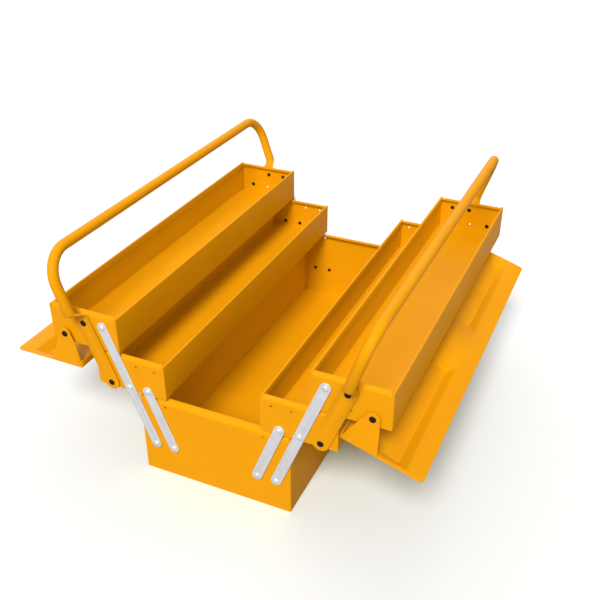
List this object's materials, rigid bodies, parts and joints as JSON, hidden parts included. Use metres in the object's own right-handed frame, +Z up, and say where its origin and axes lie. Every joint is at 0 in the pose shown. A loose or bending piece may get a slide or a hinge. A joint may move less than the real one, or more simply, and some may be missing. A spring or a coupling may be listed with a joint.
{
  "type": "cantilever tool box",
  "caption": "Steel cantilever tool box whose stacked trays swing apart on side links, with hinged lids and tube carrying handles.",
  "frame": {"origin": "centre of the base's underside", "axes": "+Z up, X along the length of the box, Y across it with the front side at -Y; drawn with both sides swung open"},
  "size_m": [0.5424, 0.5306, 0.2935],
  "materials": {
    "paint": "gloss",
    "tube_paint": "gloss",
    "zinc": "satin",
    "black": "satin"
  },
  "bodies": {
    "base": {"base_pan": "paint", "base_end_left": "paint", "base_end_right": "paint", "base_rivets": "zinc"},
    "front_long_links": {"front_long_link_left": "zinc", "front_long_link_right": "zinc"},
    "front_short_links": {"front_short_link_left": "zinc", "front_short_link_right": "zinc"},
    "front_middle_tray": {"front_middle_pan": "paint", "front_middle_end_left": "paint", "front_middle_end_right": "paint", "front_middle_link_rivets": "zinc", "front_middle_handle_rivets": "black"},
    "front_upper_tray": {"front_upper_pan": "paint", "front_upper_end_left": "paint", "front_upper_end_right": "paint", "front_upper_link_rivets": "zinc", "front_upper_handle_rivets": "black", "front_lid_rivets": "black"},
    "front_handle": {"front_handle": "tube_paint"},
    "front_lid": {"front_lid": "paint", "front_hasp": "paint"},
    "rear_long_links": {"rear_long_link_left": "zinc", "rear_long_link_right": "zinc"},
    "rear_short_links": {"rear_short_link_left": "zinc", "rear_short_link_right": "zinc"},
    "rear_middle_tray": {"rear_middle_pan": "paint", "rear_middle_end_left": "paint", "rear_middle_end_right": "paint", "rear_middle_link_rivets": "zinc", "rear_middle_handle_rivets": "black"},
    "rear_upper_tray": {"rear_upper_pan": "paint", "rear_upper_end_left": "paint", "rear_upper_end_right": "paint", "rear_upper_link_rivets": "zinc", "rear_upper_handle_rivets": "black", "rear_lid_rivets": "black"},
    "rear_handle": {"rear_handle": "tube_paint"},
    "rear_lid": {"rear_lid": "paint", "rear_hasp": "paint"}
  },
  "joints": [
    {"name": "front_close", "type": "hinge", "parent": "base", "child": "front_long_links", "pos_m": [0, -0.082, 0.045], "axis": [-1, 0, 0], "range_deg": [0, 42.6]},
    {"name": "front_short_swing", "type": "hinge", "parent": "base", "child": "front_short_links", "pos_m": [0, -0.057, 0.045], "axis": [-1, 0, 0], "range_deg": [0, 42.6]},
    {"name": "front_middle_level", "type": "hinge", "parent": "front_long_links", "child": "front_middle_tray", "pos_m": [0, -0.11197, 0.12187], "axis": [-1, 0, 0], "range_deg": [-42.6, 0]},
    {"name": "front_upper_level", "type": "hinge", "parent": "front_long_links", "child": "front_upper_tray", "pos_m": [0, -0.14194, 0.19873], "axis": [-1, 0, 0], "range_deg": [-42.6, 0]},
    {"name": "front_handle_swing", "type": "hinge", "parent": "front_upper_tray", "child": "front_handle", "pos_m": [0, -0.16764, 0.19873], "axis": [-1, 0, 0], "range_deg": [0, 42.6]},
    {"name": "front_lid_shut", "type": "hinge", "parent": "front_upper_tray", "child": "front_lid", "pos_m": [0, -0.19687, 0.1775], "axis": [-1, 0, 0], "range_deg": [0, 198]},
    {"name": "rear_close", "type": "hinge", "parent": "base", "child": "rear_long_links", "pos_m": [0, 0.082, 0.045], "axis": [1, 0, 0], "range_deg": [0, 42.6]},
    {"name": "rear_short_swing", "type": "hinge", "parent": "base", "child": "rear_short_links", "pos_m": [0, 0.057, 0.045], "axis": [1, 0, 0], "range_deg": [0, 42.6]},
    {"name": "rear_middle_level", "type": "hinge", "parent": "rear_long_links", "child": "rear_middle_tray", "pos_m": [0, 0.11197, 0.12187], "axis": [1, 0, 0], "range_deg": [-42.6, 0]},
    {"name": "rear_upper_level", "type": "hinge", "parent": "rear_long_links", "child": "rear_upper_tray", "pos_m": [0, 0.14194, 0.19873], "axis": [1, 0, 0], "range_deg": [-42.6, 0]},
    {"name": "rear_handle_swing", "type": "hinge", "parent": "rear_upper_tray", "child": "rear_handle", "pos_m": [0, 0.16764, 0.19873], "axis": [1, 0, 0], "range_deg": [0, 42.6]},
    {"name": "rear_lid_shut", "type": "hinge", "parent": "rear_upper_tray", "child": "rear_lid", "pos_m": [0, 0.19687, 0.1775], "axis": [1, 0, 0], "range_deg": [0, 180]}
  ],
  "couplings": [
    {"joint": "front_short_swing", "follows": "front_close", "ratio": 1},
    {"joint": "front_middle_level", "follows": "front_close", "ratio": -1},
    {"joint": "front_upper_level", "follows": "front_close", "ratio": -1},
    {"joint": "front_handle_swing", "follows": "front_close", "ratio": 1},
    {"joint": "front_lid_shut", "follows": "front_close", "ratio": 4.6479},
    {"joint": "rear_short_swing", "follows": "rear_close", "ratio": 1},
    {"joint": "rear_middle_level", "follows": "rear_close", "ratio": -1},
    {"joint": "rear_upper_level", "follows": "rear_close", "ratio": -1},
    {"joint": "rear_handle_swing", "follows": "rear_close", "ratio": 1},
    {"joint": "rear_lid_shut", "follows": "rear_close", "ratio": 4.2254}
  ]
}
